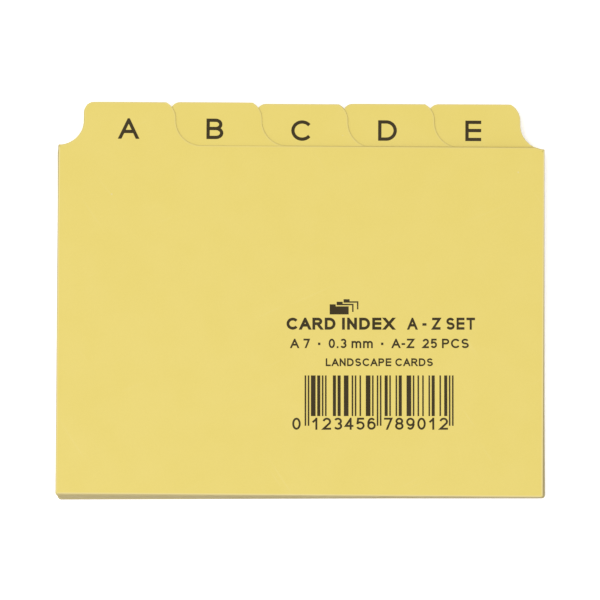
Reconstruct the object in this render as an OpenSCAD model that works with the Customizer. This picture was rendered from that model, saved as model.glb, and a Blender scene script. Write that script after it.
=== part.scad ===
// A-Z index divider cards: 25 loose tabbed cards lying in a pack.
// The pack lies on its back card, with the tabs towards +Y and the front card on top.
// The origin is under the middle of the back card, in the plane that the pack rests on.

/* [Card] */
// Width of a card, along X
card_width = 105; // [74:0.5:148]
// Height of a card without its tab, along Y
card_height = 75.7; // [52:0.1:105]
// Thickness of the plastic sheet
sheet_t = 0.3; // [0.2:0.05:0.6]
// Radius of the die-cut lower corners
corner_r = 0.5; // [0.2:0.1:2]

/* [Tabs] */
// Height of a tab above the card's shoulder
tab_h = 9.35; // [8.5:0.05:14]
// How far neighbouring tabs lap over each other
tab_lap = 1.15; // [0:0.05:2]
// Radius of the concave root between a tab and the shoulder
root_r = 5.5; // [3:0.1:5.5]
// Radius of a tab's left top corner
tab_left_r = 2.1; // [0.5:0.1:3]
// Radius of the arc at a tab's right top corner
tab_right_r = 4; // [1:0.1:4.5]
// How much of that arc the straight top cuts off
tab_right_cut = 0.5; // [0:0.05:0.6]
// How far the right end notch reaches below the shoulder
notch_drop = 0.45; // [0:0.05:1]
// How far the right end notch is centred outside the card
notch_out = 0.35; // [0:0.05:1]

/* [Pack] */
// Air between two cards that lie on each other
air_gap = 0.04; // [0.02:0.01:0.2]
// Turn of the front card against the back card, in degrees
front_turn = -0.6; // [-1:0.01:1]
// Shift of the front card against the back card, along X
front_shift_x = -0.05; // [-1:0.01:1]
// Shift of the front card against the back card, along Y
front_shift_y = 0; // [-1:0.01:1]
// Largest chance shift of a card
chance_shift = 0.12; // [0:0.01:0.4]
// Largest chance turn of a card, in degrees
chance_turn = 0.03; // [0:0.01:0.2]
// Which run of chance values the pack has
chance_seed = 6193; // [1:1:9999]

/* [Hidden] */
TAB_PLACES = 5;
LETTERS = ["a", "b", "c", "d", "e", "f", "g", "h", "i", "j", "k", "l", "m",
    "n", "o", "p", "q", "r", "s", "t", "u", "v", "w", "xy", "z"];

$fn = 96;
count = len(LETTERS);
last = count - 1;
layer = sheet_t + air_gap;
total_h = card_height + tab_h;
overlap = 1; // how far flat shapes reach into each other before they are joined

// The outer tabs run straight into the end notches, which every card has.
left_notch = [0, card_height + root_r];
right_notch = [card_width + notch_out, card_height + root_r - notch_drop];
tabs_w = right_notch[0] - left_notch[0] - 2 * root_r;
tab_w = (tabs_w + (TAB_PLACES - 1) * tab_lap) / TAB_PLACES;
tab_pitch = tab_w - tab_lap;

// Chance values for the shifts along X, the shifts along Y, and the turns.
chance = rands(-1, 1, 3 * count, chance_seed);

// What a rounded corner loses: side points out of the corner, as [1, 1] does at the top right,
// and the sheet's straight edge may cut some of the arc off.
module corner_loss(corner, radius, side, cut = 0) {
    centre = [corner[0] - side[0] * radius, corner[1] - side[1] * (radius - cut)];
    difference() {
        translate(centre) scale([side[0], side[1]]) square(radius + overlap);
        translate(centre) circle(radius);
    }
}

// What a root adds between a tab and the shoulder, towards side from the notch's centre.
module root(centre, side) {
    difference() {
        translate([centre[0] + min(side, 0) * root_r, centre[1] - root_r - overlap])
            square([root_r, root_r + overlap]);
        translate(centre) circle(root_r);
    }
}

// The sheet below the shoulder, with both end notches cut.
module sheet_outline() {
    difference() {
        square([card_width, card_height]);
        corner_loss([0, 0], corner_r, [-1, -1]);
        corner_loss([card_width, 0], corner_r, [1, -1]);
        translate(left_notch) circle(root_r);
        translate(right_notch) circle(root_r);
    }
}

// A tab and the roots that carry it, at one of the places across the card.
module tab_outline(place) {
    left = left_notch[0] + root_r + place * tab_pitch;
    right = left + tab_w;
    root_y = card_height + root_r;
    difference() {
        translate([left, card_height - root_r]) square([tab_w, tab_h + root_r]);
        corner_loss([left, total_h], tab_left_r, [-1, 1]);
        corner_loss([right, total_h], tab_right_r, [1, 1], tab_right_cut);
    }
    root(place == 0 ? left_notch : [left - root_r, root_y], 1);
    intersection() {
        root(place == TAB_PLACES - 1 ? right_notch : [right + root_r, root_y], -1);
        square([card_width, total_h]);
    }
}

// One card, lifted to its layer and turned and shifted as it lies in the pack.
module card(index) {
    lean = 1 - index / last;
    luck = index < last ? 1 : 0;
    shift_x = lean * front_shift_x + luck * chance_shift * chance[index];
    shift_y = lean * front_shift_y + luck * chance_shift * chance[count + index];
    turn = lean * front_turn + luck * chance_turn * chance[2 * count + index];
    translate([shift_x, shift_y, (last - index) * layer])
        rotate(turn)
            translate([-card_width / 2, -total_h / 2])
                linear_extrude(sheet_t) {
                    sheet_outline();
                    tab_outline(index % TAB_PLACES);
                }
}

for (index = [0 : last])
    color("khaki") card(index);
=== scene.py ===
import math
import random

import bmesh
import bpy
from mathutils import Matrix, Vector
from mathutils.geometry import delaunay_2d_cdt


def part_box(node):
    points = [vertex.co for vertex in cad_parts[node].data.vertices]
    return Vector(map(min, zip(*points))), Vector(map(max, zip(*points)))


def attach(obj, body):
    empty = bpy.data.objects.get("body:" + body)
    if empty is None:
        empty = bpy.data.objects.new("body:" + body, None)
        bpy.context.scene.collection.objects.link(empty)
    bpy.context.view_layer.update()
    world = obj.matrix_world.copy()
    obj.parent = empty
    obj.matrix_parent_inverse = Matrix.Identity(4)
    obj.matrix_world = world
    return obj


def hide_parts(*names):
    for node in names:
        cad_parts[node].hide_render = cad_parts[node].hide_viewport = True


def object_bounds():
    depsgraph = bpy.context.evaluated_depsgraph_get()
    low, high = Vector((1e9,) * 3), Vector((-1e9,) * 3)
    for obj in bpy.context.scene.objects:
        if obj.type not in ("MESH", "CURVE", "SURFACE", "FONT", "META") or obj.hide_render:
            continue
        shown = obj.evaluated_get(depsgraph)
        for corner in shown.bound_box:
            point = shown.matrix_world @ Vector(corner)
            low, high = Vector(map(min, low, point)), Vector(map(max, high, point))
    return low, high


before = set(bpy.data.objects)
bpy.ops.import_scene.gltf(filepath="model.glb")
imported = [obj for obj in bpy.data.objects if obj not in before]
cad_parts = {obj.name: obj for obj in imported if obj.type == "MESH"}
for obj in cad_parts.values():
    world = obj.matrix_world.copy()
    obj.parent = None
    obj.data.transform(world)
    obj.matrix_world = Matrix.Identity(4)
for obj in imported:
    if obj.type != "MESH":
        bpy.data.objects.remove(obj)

# A pack of tabbed A-Z divider cards, lying on its back card with the tabs towards +Y.
# Every card is cut here with fine curves and a softened die-cut edge, and carries its own print.

mm = 0.001
scene = bpy.context.scene
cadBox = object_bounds()
letters = list("ABCDEFGHIJKLMNOPQRSTUVW") + ["XY", "Z"]


def cadName(letter):
    return "card_" + letter.lower()


def addPiece(name, bm, material, body):
    mesh = bpy.data.meshes.new(name)
    bm.to_mesh(mesh)
    bm.free()
    mesh.materials.append(material)
    piece = bpy.data.objects.new(name, mesh)
    scene.collection.objects.link(piece)
    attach(piece, body)
    return piece


def vertsOf(items):
    return [item for item in items if isinstance(item, bmesh.types.BMVert)]


# Small helpers for node trees

def plug(tree, value, socket):
    if isinstance(value, bpy.types.NodeSocket):
        tree.links.new(value, socket)
    else:
        socket.default_value = value


def maths(tree, operation, first, second):
    node = tree.nodes.new("ShaderNodeMath")
    node.operation = operation
    plug(tree, first, node.inputs[0])
    plug(tree, second, node.inputs[1])
    return node.outputs[0]


def noise(tree, vector, seed, scale, detail=2.0):
    node = tree.nodes.new("ShaderNodeTexNoise")
    node.noise_dimensions = "4D"
    for label, value in (("Vector", vector), ("W", seed), ("Scale", scale), ("Detail", detail)):
        plug(tree, value, node.inputs[label])
    return node.outputs["Fac"]


def band(tree, value, low, high):
    node = tree.nodes.new("ShaderNodeMapRange")
    node.interpolation_type = "SMOOTHSTEP"
    for label, setting in (("Value", value), ("From Min", low), ("From Max", high)):
        plug(tree, setting, node.inputs[label])
    return node.outputs["Result"]


def stretched(tree, vector, turn, size):
    node = tree.nodes.new("ShaderNodeMapping")
    node.vector_type = "TEXTURE"
    plug(tree, vector, node.inputs["Vector"])
    node.inputs["Rotation"].default_value = (0, 0, math.radians(turn))
    node.inputs["Scale"].default_value = size
    return node.outputs["Vector"]


def blended(tree, amount, first, second):
    node = tree.nodes.new("ShaderNodeMix")
    node.data_type = "RGBA"
    plug(tree, amount, node.inputs["Factor"])
    plug(tree, first, node.inputs[6])
    plug(tree, second, node.inputs[7])
    return node.outputs[2]


def tinted(tree, colour, tint, mask, share):
    return blended(tree, maths(tree, "MULTIPLY", mask, share), colour, tint)


def added(tree, base, mask, share):
    return maths(tree, "ADD", base, maths(tree, "MULTIPLY", mask, share))


def attribute(tree, name):
    node = tree.nodes.new("ShaderNodeAttribute")
    node.attribute_name = name
    return node.outputs["Fac"]


def startGroup(name, inputs, outputs):
    group = bpy.data.node_groups.new(name, "ShaderNodeTree")
    for label, kind in inputs:
        group.interface.new_socket(label, in_out="INPUT", socket_type="NodeSocket" + kind)
    for label in outputs:
        group.interface.new_socket(label, in_out="OUTPUT", socket_type="NodeSocketFloat")
    return group, group.nodes.new("NodeGroupInput").outputs, group.nodes.new("NodeGroupOutput").inputs


def useGroup(tree, group, settings):
    node = tree.nodes.new("ShaderNodeGroup")
    node.node_tree = group
    for label, value in settings.items():
        plug(tree, value, node.inputs[label])
    return node.outputs


# Pressed grain: a fine matt tooth, and the slow waves that a thin sheet keeps from its roll

grainPlan = {
    "toothScale": 4200, "poreScale": 9500, "waveScale": 16, "blotchScale": 160,
    "toothShare": 0.045, "poreShare": 0.018, "waveShare": 0.45,
    "toothBand": (0.35, 0.65), "blotchBand": (0.3, 0.7),
}


def makeGrain():
    plan = grainPlan
    tree, given, out = startGroup("pressedGrain", [("Vector", "Vector"), ("Seed", "Float")],
                                  ["Height", "Mottle", "Tooth"])
    tooth = noise(tree, given["Vector"], given["Seed"], plan["toothScale"], 3.0)
    height = maths(tree, "MULTIPLY", tooth, plan["toothShare"])
    for kind in ("pore", "wave"):
        layer = noise(tree, given["Vector"], given["Seed"], plan[kind + "Scale"], 1.0)
        height = added(tree, height, layer, plan[kind + "Share"])
    blotches = noise(tree, given["Vector"], given["Seed"], plan["blotchScale"], 4.0)
    tree.links.new(height, out["Height"])
    tree.links.new(band(tree, blotches, *plan["blotchBand"]), out["Mottle"])
    tree.links.new(band(tree, tooth, *plan["toothBand"]), out["Tooth"])
    return tree


# Handling marks: hairline scuffs in two directions, and a few specks of dust

marksPlan = {
    "scuffTurns": (24, -57), "scuffSize": (12 * mm, 0.35 * mm, 12 * mm), "lineBand": (0.72, 0.80),
    "patchScale": 45, "patchBand": (0.52, 0.68),
    "speckScale": 420, "speckSize": 0.09, "speckFrom": 0.80,
}


def makeMarks():
    plan = marksPlan
    tree, given, out = startGroup("handlingMarks", [("Vector", "Vector"), ("Seed", "Float")],
                                  ["Scuff", "Speck"])
    scuff = 0.0
    for turn in plan["scuffTurns"]:
        along = stretched(tree, given["Vector"], turn, plan["scuffSize"])
        lines = band(tree, noise(tree, along, given["Seed"], 1.0, 0.0), *plan["lineBand"])
        patch = noise(tree, given["Vector"], maths(tree, "ADD", given["Seed"], turn), plan["patchScale"])
        patch = band(tree, patch, *plan["patchBand"])
        scuff = maths(tree, "MAXIMUM", scuff, maths(tree, "MULTIPLY", lines, patch))
    tree.links.new(scuff, out["Scuff"])
    cells = tree.nodes.new("ShaderNodeTexVoronoi")
    cells.voronoi_dimensions = "4D"
    plug(tree, given["Vector"], cells.inputs["Vector"])
    plug(tree, given["Seed"], cells.inputs["W"])
    cells.inputs["Scale"].default_value = plan["speckScale"]
    near = maths(tree, "LESS_THAN", cells.outputs["Distance"], plan["speckSize"])
    chosen = maths(tree, "GREATER_THAN", cells.outputs["Color"], plan["speckFrom"])
    tree.links.new(maths(tree, "MULTIPLY", near, chosen), out["Speck"])
    return tree


pressedGrain = makeGrain()
handlingMarks = makeMarks()


# Finishes

sheetFinish = {
    "yellow": (0.565, 0.446, 0.064, 1), "yellowPale": (0.567, 0.448, 0.0655, 1),
    "deep": (0.47, 0.36, 0.04, 1), "toothTint": 0.10,
    # The pale cut edge is partly real stress whitening and partly a painted highlight; the wall, corner and
    # side-and-foot shades are painted shade.
    "cutEdgeAndHighlight": (0.62, 0.53, 0.25, 1), "edgeBand": (0.05, 0.60), "edgePale": 0.22, "sideAndFootPale": 0.38,
    "wallShade": (0.352, 0.291, 0.168, 1), "cornerBand": (0.72, 0.94), "cornerShade": 0.12,
    "sideAndFootShade": 0.38,
    "scuffed": (0.60, 0.51, 0.19, 1), "scuffTint": 0.05, "dust": (0.56, 0.53, 0.46, 1), "dustTint": 0.25,
    "roughness": 0.46, "mottleRough": 0.03, "edgeRough": 0.08, "scuffRough": -0.06,
    "bumpHeight": 0.0002, "bumpStrength": 0.6,
}
inkFinish = {
    "black": (0.031, 0.021, 0.004, 1), "worn": (0.060, 0.044, 0.012, 1),
    "thinScale": 5200, "thinBand": (0.60, 0.75), "thinTint": 0.6, "scuffTint": 0.3,
    "roughness": 0.55, "mottleRough": 0.12, "gloss": 0.14, "bumpHeight": 0.0002, "bumpStrength": 0.5,
}


def startMaterial(name):
    material = bpy.data.materials.new(name)
    material.use_nodes = True
    tree = material.node_tree
    coords = tree.nodes.new("ShaderNodeTexCoord").outputs["Object"]
    return material, tree, tree.nodes["Principled BSDF"].inputs, coords


def addBump(tree, height, plan, socket):
    bump = tree.nodes.new("ShaderNodeBump")
    bump.inputs["Distance"].default_value = plan["bumpHeight"]
    bump.inputs["Strength"].default_value = plan["bumpStrength"]
    tree.links.new(height, bump.inputs["Height"])
    tree.links.new(bump.outputs["Normal"], socket)


def makeSheetFinish():
    material, tree, shader, coords = startMaterial("yellowSheet")
    plan = sheetFinish
    leaf = attribute(tree, "leaf")
    grain = useGroup(tree, pressedGrain, {"Vector": coords, "Seed": leaf})
    marks = useGroup(tree, handlingMarks, {"Vector": coords, "Seed": leaf})
    # The rim runs from 0 on the face to 1 at the cut. The sides and the foot are the outer edges. The cut
    # edge is paled, partly real stress whitening and partly a painted highlight; the walls and the
    # roundings at the cut get painted shade, and the sides and the foot get more of both.
    rim = attribute(tree, "rim")
    sideAndFoot = attribute(tree, "sideAndFoot")
    edge = band(tree, rim, *plan["edgeBand"])
    pale = added(tree, plan["edgePale"], sideAndFoot, plan["sideAndFootPale"])
    shade = added(tree, plan["cornerShade"], sideAndFoot, plan["sideAndFootShade"])
    corner = maths(tree, "MULTIPLY", band(tree, rim, *plan["cornerBand"]), shade)
    dark = maths(tree, "MAXIMUM", attribute(tree, "wall"), corner)
    colour = blended(tree, grain["Mottle"], plan["yellow"], plan["yellowPale"])
    colour = tinted(tree, colour, plan["deep"], grain["Tooth"], plan["toothTint"])
    # Pale cut edge: partly real stress whitening, partly a painted highlight along the rim.
    colour = tinted(tree, colour, plan["cutEdgeAndHighlight"], edge, pale)
    # Painted shade on the walls and the roundings at the cut, strongest on the sides and the foot.
    colour = blended(tree, dark, colour, plan["wallShade"])
    colour = tinted(tree, colour, plan["scuffed"], marks["Scuff"], plan["scuffTint"])
    colour = tinted(tree, colour, plan["dust"], marks["Speck"], plan["dustTint"])
    tree.links.new(colour, shader["Base Color"])
    rough = added(tree, plan["roughness"], grain["Mottle"], plan["mottleRough"])
    rough = added(tree, rough, edge, plan["edgeRough"])
    rough = added(tree, rough, marks["Scuff"], plan["scuffRough"])
    tree.links.new(rough, shader["Roughness"])
    addBump(tree, grain["Height"], plan, shader["Normal"])
    return material


def makeInkFinish():
    material, tree, shader, coords = startMaterial("indexInk")
    plan = inkFinish
    leaf = attribute(tree, "leaf")
    grain = useGroup(tree, pressedGrain, {"Vector": coords, "Seed": leaf})
    marks = useGroup(tree, handlingMarks, {"Vector": coords, "Seed": leaf})
    thin = band(tree, noise(tree, coords, leaf, plan["thinScale"]), *plan["thinBand"])
    colour = tinted(tree, plan["black"], plan["worn"], thin, plan["thinTint"])
    colour = tinted(tree, colour, plan["worn"], marks["Scuff"], plan["scuffTint"])
    tree.links.new(colour, shader["Base Color"])
    rough = added(tree, plan["roughness"], grain["Mottle"], plan["mottleRough"])
    tree.links.new(rough, shader["Roughness"])
    shader["Specular IOR Level"].default_value = plan["gloss"]
    addBump(tree, grain["Height"], plan, shader["Normal"])
    return material


yellowSheet = makeSheetFinish()
indexInk = makeInkFinish()
print("finishes ready")


# Cards

cardCut = {
    "shoulder": 75.7 * mm, "tabHeight": 9.35 * mm, "tabPlaces": 5, "tabLap": 1.15 * mm,
    "rootRadius": 5.5 * mm, "tabLeftRadius": 2.1 * mm, "tabRightRadius": 4.0 * mm, "tabRightCut": 0.5 * mm,
    "cornerRadius": 0.5 * mm, "notchDrop": 0.45 * mm, "notchOut": 0.35 * mm,
    "arcSteps": 20, "cornerSteps": 5, "radiusEase": 0.99999, "mergeGap": 0.0005 * mm,
    "edgeRound": 0.045 * mm, "edgeSteps": 2, "rimWidth": 0.42 * mm,
}
backLow, backHigh = (Vector(corner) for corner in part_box("card_z"))
cardWidth = (backHigh - backLow).x
sheetThickness = (backHigh - backLow).z


def tabSpan(place):
    cut = cardCut
    room = cardWidth + cut["notchOut"] - 2 * cut["rootRadius"]
    tabWidth = (room + (cut["tabPlaces"] - 1) * cut["tabLap"]) / cut["tabPlaces"]
    left = cut["rootRadius"] + place * (tabWidth - cut["tabLap"])
    return left, left + tabWidth


def seatOf(letter):
    # The longest straight edge of a card is its foot, which tells how the card lies in the pack.
    bm = bmesh.new()
    bm.from_mesh(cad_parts[cadName(letter)].data)
    bmesh.ops.remove_doubles(bm, verts=bm.verts, dist=0.001 * mm)
    bmesh.ops.dissolve_limit(bm, angle_limit=math.radians(1), verts=bm.verts, edges=bm.edges)
    foot = max(bm.edges, key=lambda edge: edge.calc_length())
    left, right = sorted((vert.co.copy() for vert in foot.verts), key=lambda point: point.x)
    bm.free()
    along = (right - left).normalized()
    corner = left - along * cardCut["cornerRadius"]
    corner.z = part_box(cadName(letter))[0][2]
    return Matrix.Translation(corner) @ Matrix.Rotation(math.atan2(along.y, along.x), 4, "Z")


def sweepArc(bm, start, centre, angle):
    steps = max(4, round(abs(angle) * cardCut["arcSteps"]))
    arc = bmesh.ops.spin(bm, geom=[start], cent=centre, axis=(0, 0, 1), angle=angle, steps=steps)
    return vertsOf(arc["geom_last"])[0]


def joinUp(bm, path):
    for first, second in zip(path, path[1:]):
        bm.edges.new((first, second))


def drawOutline(bm, place):
    # Anticlockwise from the right end: notch, right root, tab, left root, foot.
    # Sharp corners are rounded last.
    cut = cardCut
    left, right = tabSpan(place)
    shoulder = cut["shoulder"]
    top = shoulder + cut["tabHeight"]
    root = cut["rootRadius"]
    out = math.asin(cut["notchOut"] / root)
    lastPlace = place == cut["tabPlaces"] - 1
    sweep = math.pi / 2 if lastPlace else math.acos((root - cut["notchDrop"]) / root)
    notch = Vector((cardWidth + cut["notchOut"], shoulder + root - cut["notchDrop"], 0))
    lip = bm.verts.new((cardWidth, notch.y - root * math.cos(out), 0))
    notchEnd = sweepArc(bm, lip, notch, out - sweep)
    arcRadius = cut["tabRightRadius"]
    arcCentre = Vector((right - arcRadius, top - arcRadius + cut["tabRightCut"], 0))
    arcStart = bm.verts.new((right, arcCentre.y, 0))
    arcEnd = sweepArc(bm, arcStart, arcCentre, math.asin(1 - cut["tabRightCut"] / arcRadius))
    corners = [(left, top, cut["tabLeftRadius"]), (left, shoulder, root), (0, shoulder, 0),
               (0, 0, cut["cornerRadius"]), (cardWidth, 0, cut["cornerRadius"])]
    turned = [bm.verts.new((x, y, 0)) for x, y, radius in corners]
    rounded = [(vert, radius) for vert, (x, y, radius) in zip(turned, corners) if radius]
    before = [notchEnd, arcStart]
    if not lastPlace:
        before.insert(1, bm.verts.new((right, shoulder, 0)))
        rounded.append((before[1], root))
    joinUp(bm, before)
    joinUp(bm, [arcEnd] + turned + [lip])
    bmesh.ops.contextual_create(bm, geom=bm.edges[:])
    for vert, radius in rounded:
        # A hair under the full radius, so that a root never quite reaches the next corner
        steps = max(8, round(radius / mm * cut["cornerSteps"]))
        bmesh.ops.bevel(bm, geom=[vert], offset=radius * cut["radiusEase"], offset_type="OFFSET",
                        segments=steps, profile=0.5, affect="VERTICES", material=-1)
    bmesh.ops.remove_doubles(bm, verts=bm.verts, dist=cut["mergeGap"])


def isCap(face):
    return abs(face.normal.z) > 0.99


def cutCard(index):
    cut = cardCut
    bm = bmesh.new()
    drawOutline(bm, index % cut["tabPlaces"])
    raised = bmesh.ops.extrude_face_region(bm, geom=bm.faces[:])["geom"]
    bmesh.ops.translate(bm, verts=vertsOf(raised), vec=(0, 0, sheetThickness))
    bmesh.ops.recalc_face_normals(bm, faces=bm.faces)
    rims = [edge for edge in bm.edges if sum(isCap(face) for face in edge.link_faces) == 1]
    bmesh.ops.bevel(bm, geom=rims, offset=cut["edgeRound"], offset_type="OFFSET", segments=cut["edgeSteps"],
                    profile=0.5, affect="EDGES", clamp_overlap=True, material=-1)
    rim = bm.verts.layers.float.new("rim")
    leaf = bm.verts.layers.float.new("leaf")
    wall = bm.verts.layers.float.new("wall")
    sideAndFoot = bm.verts.layers.float.new("sideAndFoot")
    for vert in bm.verts:
        vert[rim] = 1.0
        # The sides and the foot are marked for more painted shade and painted highlight in the finish; the
        # wall value marks the side walls for painted shade.
        vert[sideAndFoot] = float(min(vert.co.x, vert.co.y, cardWidth - vert.co.x) < 2 * cut["edgeRound"])
        vert[wall] = min(1.0, min(vert.co.z, sheetThickness - vert.co.z) / cut["edgeRound"])
    caps = sorted(bm.faces, key=lambda face: face.calc_area())[-2:]
    for cap in caps:
        bmesh.ops.inset_region(bm, faces=[cap], thickness=cut["rimWidth"], depth=0.0,
                               use_even_offset=True, use_boundary=True)
        for vert in cap.verts:
            vert[rim] = 0.0
    for vert in bm.verts:
        vert[leaf] = index
    for face in bm.faces:
        face.smooth = not isCap(face)
    for edge in bm.edges:
        edge.smooth = all(face.smooth for face in edge.link_faces)
    return bm


seats = {}
for index, letter in enumerate(letters):
    seats[letter] = seatOf(letter)
    bm = cutCard(index)
    bm.transform(seats[letter])
    sheet = addPiece("sheet" + letter, bm, yellowSheet, cadName(letter))
    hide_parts(cadName(letter))
print("cut", len(letters), "cards,", len(sheet.data.polygons), "faces on the last one")


# Print: plain drawn capitals and figures. A character is its width and the middle lines of its strokes,
# in a box one unit wide and high. A stroke runs through points, and through arcs, which are
# (centre x, centre y, radius x, radius y, from angle, to angle).

inkPlan = {
    "thickness": 0.014 * mm, "bite": 0.002 * mm, "arcStep": 9, "trackGap": 0.19, "wordGap": 0.36,
    "leaning": "AVWY", "leaningGap": 0.06, "leaningFrom": 0.2, "leaningCarry": 2.2,
    "mitreLimit": 0.2, "touching": 1e-4,
}
typeface = {
    "A": (0.96, [[(0, 0), (.5, 1), (1, 0)], [(.19, .33), (.81, .33)]]),
    "B": (0.82, [[(0, 0), (0, 1), (.56, 1), (.56, .76, .37, .24, 90, -90), (0, .52)],
                 [(.5, .52), (.58, .26, .42, .26, 90, -90), (0, 0)]]),
    "C": (0.96, [[(.56, .5, .56, .5, 39, 321)]]),
    "D": (0.91, [[(0, 0), (0, 1), (.42, 1), (.42, .5, .58, .5, 90, -90), (0, 0)]]),
    "E": (0.77, [[(1, 1), (0, 1), (0, 0), (1, 0)], [(0, .52), (1, .52)]]),
    "F": (0.72, [[(0, 0), (0, 1), (1, 1)], [(0, .5), (.96, .5)]]),
    "G": (1.00, [[(.54, .5, .54, .5, 43, 328)], [(.50, .46), (1, .46), (1, 0)]]),
    "H": (0.83, [[(0, 0), (0, 1)], [(1, 0), (1, 1)], [(0, .52), (1, .52)]]),
    "I": (0.00, [[(.5, 0), (.5, 1)]]),
    "J": (0.62, [[(1, 1), (1, .28), (.5, .28, .5, .28, 0, -180)]]),
    "K": (0.87, [[(0, 0), (0, 1)], [(1, 1), (0, .34)], [(.3, .54), (1, 0)]]),
    "L": (0.68, [[(0, 1), (0, 0), (1, 0)]]),
    "M": (0.98, [[(0, 0), (0, 1), (.5, 0), (1, 1), (1, 0)]]),
    "N": (0.83, [[(0, 0), (0, 1), (1, 0), (1, 1)]]),
    "O": (1.03, [[(.5, .5, .5, .5, 0, 360)]]),
    "P": (0.80, [[(0, 0), (0, 1), (.57, 1), (.57, .74, .43, .26, 90, -90), (0, .48)]]),
    "Q": (1.03, [[(.5, .5, .5, .5, 0, 360)], [(.56, .34), (.98, 0)]]),
    "R": (0.85, [[(0, 0), (0, 1), (.56, 1), (.56, .75, .41, .25, 90, -90), (0, .5)], [(.52, .5), (1, 0)]]),
    "S": (0.82, [[(.5, .75, .47, .25, 22, 270), (.5, .25, .5, .25, 90, -158)]]),
    "T": (0.84, [[(0, 1), (1, 1)], [(.5, 0), (.5, 1)]]),
    "U": (0.82, [[(0, 1), (0, .36), (.5, .36, .5, .36, 180, 360), (1, 1)]]),
    "V": (0.93, [[(0, 1), (.5, 0), (1, 1)]]),
    "W": (1.30, [[(0, 1), (.26, 0), (.5, 1), (.74, 0), (1, 1)]]),
    "X": (0.90, [[(0, 0), (1, 1)], [(0, 1), (1, 0)]]),
    "Y": (0.92, [[(0, 1), (.5, .43), (1, 1)], [(.5, .43), (.5, 0)]]),
    "Z": (0.82, [[(0, 1), (1, 1), (0, 0), (1, 0)]]),
    "0": (0.70, [[(.5, .5, .5, .5, 0, 360)]]),
    "1": (0.70, [[(.6, 0), (.6, 1)], [(.6, .97), (.02, .64)]]),
    "2": (0.70, [[(.5, .71, .5, .29, 172, -38), (0, 0), (1, 0)]]),
    "3": (0.70, [[(.5, .75, .46, .25, 155, -90)], [(.5, .26, .5, .26, 90, -155)]]),
    "4": (0.72, [[(.72, 0), (.72, 1), (0, .28), (1, .28)]]),
    "5": (0.70, [[(.92, 1), (.14, 1), (.04, .44)], [(.48, .32, .52, .32, 146, -152)]]),
    "6": (0.70, [[(.5, .32, .5, .32, 0, 360)], [(.52, .5, .52, .5, 180, 46)]]),
    "7": (0.70, [[(0, 1), (1, 1), (.34, 0)]]),
    "8": (0.70, [[(.5, .76, .44, .24, 0, 360)], [(.5, .27, .5, .27, 0, 360)]]),
    "9": (0.70, [[(.5, .68, .5, .32, 0, 360)], [(.48, .5, .52, .5, 0, -134)]]),
    "m": (1.08, [[(0, 0), (0, .7)], [(.25, .47, .25, .24, 180, 0), (.5, 0)],
                 [(.75, .47, .25, .24, 180, 0), (1, 0)]]),
    "-": (0.40, [[(0, .42), (1, .42)]]),
    "*": (0.26, [[(0, .40), (0, .49)], [(1, .40), (1, .49)]]),
    ".": (0.00, [[(.5, 0), (.5, .13)]]),
}


def strokeLine(stroke, wide, half):
    # The middle line of a stroke, in cap heights. An end on the box's edge is carried on to reach it.
    touching = inkPlan["touching"]
    line = []
    for item in stroke:
        if len(item) == 2:
            line.append(Vector(item))
            continue
        x, y, radiusX, radiusY, start, stop = item
        steps = math.ceil(abs(stop - start) / inkPlan["arcStep"])
        for step in range(steps + 1):
            angle = math.radians(start + (stop - start) * step / steps)
            line.append(Vector((x + radiusX * math.cos(angle), y + radiusY * math.sin(angle))))
    line = [Vector((half + point.x * wide, half + point.y * (1 - 2 * half))) for point in line]
    line = [point for n, point in enumerate(line) if not n or (point - line[n - 1]).length > touching]
    if (line[0] - line[-1]).length > touching:
        for end, inner in ((0, 1), (-1, -2)):
            onward = (line[end] - line[inner]).normalized()
            leaning = min(abs(onward.x), abs(onward.y)) > inkPlan["leaningFrom"]
            edges = stroke[end][1:] if leaning else stroke[end]
            if len(stroke[end]) == 2 and any(value in (0, 1) for value in edges):
                line[end] = line[end] + onward * half * (inkPlan["leaningCarry"] if leaning else 1.0)
    return line


def strokeSides(line, half):
    sides = []
    closed = (line[0] - line[-1]).length < inkPlan["touching"]
    for n, point in enumerate(line):
        before = point - line[n - 1] if n else (line[-1] - line[-2] if closed else line[1] - point)
        after = line[n + 1] - point if n < len(line) - 1 else (line[1] - line[0] if closed else before)
        before, after = before.normalized(), after.normalized()
        mitre = (before + after).normalized().orthogonal()
        reach = half / max(inkPlan["mitreLimit"], mitre.dot(before.orthogonal()))
        sides.append((point + mitre * reach, point - mitre * reach))
    return sides


def drawCharacter(bm, character, half):
    # The strokes are laid over each other and made one flat shape, which is trimmed level at the
    # baseline and the top.
    width, strokes = typeface[character]
    wide = max(0.0, width - 2 * half)
    points, quads = [], []
    for stroke in strokes:
        sides = strokeSides(strokeLine(stroke, wide, half), half)
        first = len(points)
        points += [point for pair in sides for point in pair]
        quads += [[first + 2 * n, first + 2 * n + 1, first + 2 * n + 3, first + 2 * n + 2]
                  for n in range(len(sides) - 1)]
    points, _, triangles, _, _, covered = delaunay_2d_cdt(points, [], quads, 1, 1e-5)
    flat = bmesh.new()
    verts = [flat.verts.new((point.x, point.y, 0)) for point in points]
    for triangle, strokesThere in zip(triangles, covered):
        if strokesThere:
            flat.faces.new([verts[corner] for corner in triangle])
    for level, way in ((0, -1), (1, 1)):
        bmesh.ops.bisect_plane(flat, geom=flat.verts[:] + flat.edges[:] + flat.faces[:], dist=1e-6,
                               plane_co=(0, level, 0), plane_no=(0, way, 0), clear_outer=True)
    bmesh.ops.dissolve_limit(flat, angle_limit=math.radians(1), verts=flat.verts, edges=flat.edges)
    return flat, max(width, 2 * half)


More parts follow.
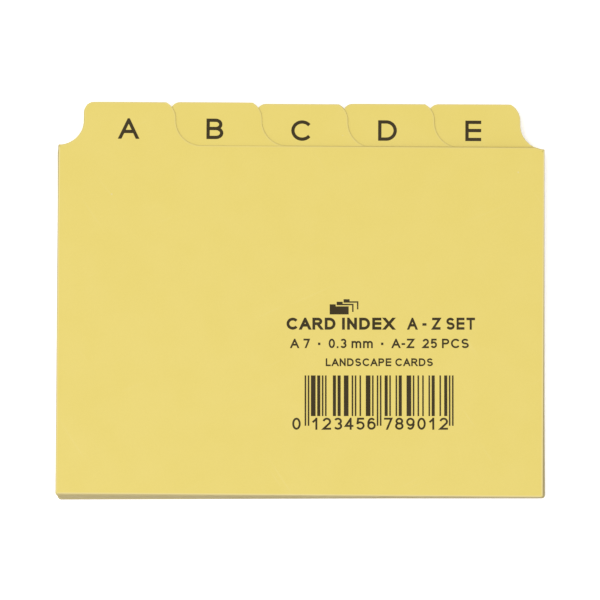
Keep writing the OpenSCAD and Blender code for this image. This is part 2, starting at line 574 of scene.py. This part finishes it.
def setType(words, capHeight, weight, width=None, gap=inkPlan["trackGap"]):
    # Type with its baseline on X, centred on the origin and as thick as the ink lies.
    bm = bmesh.new()
    pen = 0.0
    for character, following in zip(words, words[1:] + " "):
        if character == " ":
            pen += inkPlan["wordGap"]
            continue
        closer = inkPlan["leaningGap"] * sum(item in inkPlan["leaning"] for item in (character, following))
        flat, wide = drawCharacter(bm, character, weight / 2)
        bmesh.ops.translate(flat, verts=flat.verts, vec=(pen, 0, 0))
        mesh = bpy.data.meshes.new("character")
        flat.to_mesh(mesh)
        flat.free()
        bm.from_mesh(mesh)
        bpy.data.meshes.remove(mesh)
        pen += wide + gap - closer
    raised = bmesh.ops.extrude_face_region(bm, geom=bm.faces[:])["geom"]
    bmesh.ops.translate(bm, verts=vertsOf(raised), vec=(0, 0, 1))
    bmesh.ops.recalc_face_normals(bm, faces=bm.faces)
    reach = [vert.co.x for vert in bm.verts]
    left, right = min(reach), max(reach)
    bmesh.ops.translate(bm, verts=bm.verts, vec=(-(left + right) / 2, 0, 0))
    across = width / (right - left) if width else capHeight
    bmesh.ops.scale(bm, verts=bm.verts, vec=(across, capHeight, inkPlan["thickness"]))
    return bm


def layInk(name, bm, letter, x, y):
    # Ink starts just inside the face of the sheet, at a place measured from the card's lower left corner.
    layer = bm.verts.layers.float.new("leaf")
    for vert in bm.verts:
        vert[layer] = letters.index(letter)
    bm.transform(seats[letter] @ Matrix.Translation((x, y, sheetThickness - inkPlan["bite"])))
    addPiece(name, bm, indexInk, cadName(letter))


tabType = {"capHeight": 4.45 * mm, "baseline": 1.35 * mm, "offCentre": -0.25 * mm, "weight": 0.162}

for index, letter in enumerate(letters):
    left, right = tabSpan(index % cardCut["tabPlaces"])
    bm = setType(letter, tabType["capHeight"], tabType["weight"])
    layInk("letter" + letter, bm, letter, (left + right) / 2 + tabType["offCentre"],
           cardCut["shoulder"] + tabType["baseline"])
print("printed the tabs")


def box(bm, left, right, low, high):
    made = bmesh.ops.create_cube(bm, size=1)["verts"]
    thickness = inkPlan["thickness"]
    bmesh.ops.scale(bm, verts=made, vec=(right - left, high - low, thickness))
    bmesh.ops.translate(bm, verts=made, vec=((left + right) / 2, (low + high) / 2, thickness / 2))


# The front card's block of small print, which was printed a little out of square with the card.
# A line is its words, the middle of its baseline, capital height and width in millimetres, and weight.

blockPlan = {
    "centre": (69.5 * mm, 28 * mm), "turn": 0.39,
    "lines": {
        "Title": ("CARD INDEX", 61.4, 36.0, 2.6, 23.6, 0.235),
        "Series": ("A - Z SET", 82.9, 36.0, 2.6, 14.7, 0.21),
        "Format": ("A 7  *  0.3 mm  *  A-Z  25 PCS", 69.6, 32.0, 2.05, 38.6, 0.192),
        "Use": ("LANDSCAPE CARDS", 69.6, 28.1, 1.7, 23.1, 0.205),
    },
}


def layBlock(name, bm, x, y):
    centre = Vector((*blockPlan["centre"], 0))
    offset = Vector((x, y, 0)) - centre
    bm.transform(Matrix.Rotation(math.radians(blockPlan["turn"]), 4, "Z") @ Matrix.Translation(offset))
    layInk(name, bm, "A", centre.x, centre.y)


for name, (words, x, baseline, capHeight, width, weight) in blockPlan["lines"].items():
    bm = setType(words, capHeight * mm, weight, width * mm)
    layBlock("print" + name, bm, x * mm, baseline * mm)


# A stand-in bar field: even guards, and made-up bars between them that stand for no number.
# It is laid out in modules: a side guard, six fields, the middle guard, six fields, a side guard.

barPlan = {
    "left": 53.5 * mm, "right": 85.6 * mm, "top": 26.1 * mm, "foot": 17.3 * mm, "guardFoot": 15.2 * mm,
    "fields": 6, "fieldModules": 7, "sideGuard": 3, "middleGuard": 5, "seed": 12,
    "digitHeight": 2.6 * mm, "digitLine": 14.35 * mm, "digitWeight": 0.165, "digitGap": 0.22,
    "digits": {"Lead": ("0", -5.2), "Left": ("123456", 25), "Right": ("789012", 71)},
}
halfModules = barPlan["fields"] * barPlan["fieldModules"]
barModules = 2 * (barPlan["sideGuard"] + halfModules) + barPlan["middleGuard"]
barModule = (barPlan["right"] - barPlan["left"]) / barModules


def sampleBars():
    plan = barPlan
    chance = random.Random(plan["seed"])
    middle = plan["sideGuard"] + halfModules
    halves = (plan["sideGuard"], middle + plan["middleGuard"])
    bm = bmesh.new()

    def bar(start, width, foot):
        left = plan["left"] + start * barModule
        box(bm, left, left + width * barModule, foot, plan["top"])

    for start in (0, 2, middle + 1, middle + 3, barModules - 3, barModules - 1):
        bar(start, 1, plan["guardFoot"])
    for start in (half + plan["fieldModules"] * n for half in halves for n in range(plan["fields"])):
        first = chance.choice((1, 1, 2, 3))
        gap = chance.choice((1, 1, 2))
        second = chance.choice((1, 2))
        room = plan["fieldModules"] - 1 - first - gap
        bar(start + 1, first, plan["foot"])
        bar(start + 1 + first + gap, min(second, room), plan["foot"])
    return bm


layBlock("printBars", sampleBars(), 0, 0)
for name, (words, place) in barPlan["digits"].items():
    bm = setType(words, barPlan["digitHeight"], barPlan["digitWeight"], gap=barPlan["digitGap"])
    layBlock("print" + name + "Digits", bm, barPlan["left"] + place * barModule, barPlan["digitLine"])


# A small sign of three tabbed cards standing one behind the other: the front one solid, the others in line

signPlan = {
    "x": 58.9 * mm, "y": 39.3 * mm, "width": 4.1 * mm, "height": 1.75 * mm, "line": 0.30 * mm,
    "tabWidth": 1.3 * mm, "tabHeight": 0.45 * mm,
    "stepUp": 0.55 * mm, "stepAcross": 1.045 * mm, "tabStep": 0.455 * mm,
}


def cardSign():
    plan = signPlan
    line = plan["line"]
    bm = bmesh.new()
    box(bm, 0, plan["width"], 0, plan["height"])
    box(bm, 0, plan["tabWidth"], plan["height"], plan["height"] + plan["tabHeight"])
    for behind in (1, 2):
        tab = behind * (plan["stepAcross"] + plan["tabStep"])
        right = behind * plan["stepAcross"] + plan["width"]
        foot = behind * plan["stepUp"]
        top = foot + plan["height"]
        box(bm, tab, right, top - line, top)
        box(bm, right - line, right, foot, top - line)
        box(bm, tab, tab + plan["tabWidth"], top, top + plan["tabHeight"])
    return bm


layBlock("printSign", cardSign(), signPlan["x"], signPlan["y"])
print("printed the front card")


# Studio

studio = {
    "floorSize": 3.0, "floorDrop": 0.02 * mm, "floor": (0.93, 0.93, 0.925, 1), "floorRough": 0.8,
    "world": (1.0, 1.0, 1.0, 1), "worldStrength": 0.50,
    "keyPower": 15.0, "keySize": 0.9, "keyPlace": (-0.34, -0.20, 1.6),
    "fillPower": 16.0, "fillSize": 1.4, "fillPlace": (0.15, 0.1, 2.1), "floorGlow": 0.30,
}
shot = {
    "distance": 2.4, "tilt": 5.5, "roll": -0.21, "frameWidth": 0.12942, "aimX": -0.00007, "aimY": -0.00014,
    "sensor": 36, "near": 0.05, "far": 20,
}


def makeFloor():
    bm = bmesh.new()
    bmesh.ops.create_grid(bm, x_segments=4, y_segments=4, size=studio["floorSize"] / 2)
    bmesh.ops.translate(bm, verts=bm.verts, vec=(0, 0, -studio["floorDrop"]))
    mesh = bpy.data.meshes.new("studioFloor")
    bm.to_mesh(mesh)
    bm.free()
    floor = bpy.data.objects.new("studioFloor", mesh)
    scene.collection.objects.link(floor)
    material, _, shader, _ = startMaterial("paleFloor")
    shader["Base Color"].default_value = studio["floor"]
    shader["Roughness"].default_value = studio["floorRough"]
    shader["Emission Color"].default_value = studio["world"]
    shader["Emission Strength"].default_value = studio["floorGlow"]
    mesh.materials.append(material)


def addSoftbox(name, power, size, place):
    lamp = bpy.data.lights.new(name, "AREA")
    lamp.energy = power
    lamp.shape = "DISK"
    lamp.size = size
    holder = bpy.data.objects.new(name, lamp)
    scene.collection.objects.link(holder)
    holder.location = place
    holder.rotation_euler = (-Vector(place)).to_track_quat("-Z", "Y").to_euler()


def addCamera():
    camera = bpy.data.cameras.new("studioCamera")
    camera.sensor_width = shot["sensor"]
    camera.lens = shot["sensor"] * shot["distance"] / shot["frameWidth"]
    camera.clip_start = shot["near"]
    camera.clip_end = shot["far"]
    holder = bpy.data.objects.new("studioCamera", camera)
    scene.collection.objects.link(holder)
    low, high = (Vector(corner) for corner in cadBox)
    aim = Vector(((low.x + high.x) / 2 + shot["aimX"], (low.y + high.y) / 2 + shot["aimY"], high.z))
    tilt = math.radians(shot["tilt"])
    holder.location = aim + shot["distance"] * Vector((0, -math.sin(tilt), math.cos(tilt)))
    turned = Matrix.Rotation(tilt, 3, "X") @ Matrix.Rotation(math.radians(shot["roll"]), 3, "Z")
    holder.rotation_euler = turned.to_euler()
    scene.camera = holder


makeFloor()
addSoftbox("keyLight", studio["keyPower"], studio["keySize"], studio["keyPlace"])
addSoftbox("fillLight", studio["fillPower"], studio["fillSize"], studio["fillPlace"])
world = bpy.data.worlds.new("studioWorld")
world.use_nodes = True
world.node_tree.nodes["Background"].inputs["Color"].default_value = studio["world"]
world.node_tree.nodes["Background"].inputs["Strength"].default_value = studio["worldStrength"]
scene.world = world
scene.view_settings.view_transform = "Standard"
addCamera()
print("studio ready")
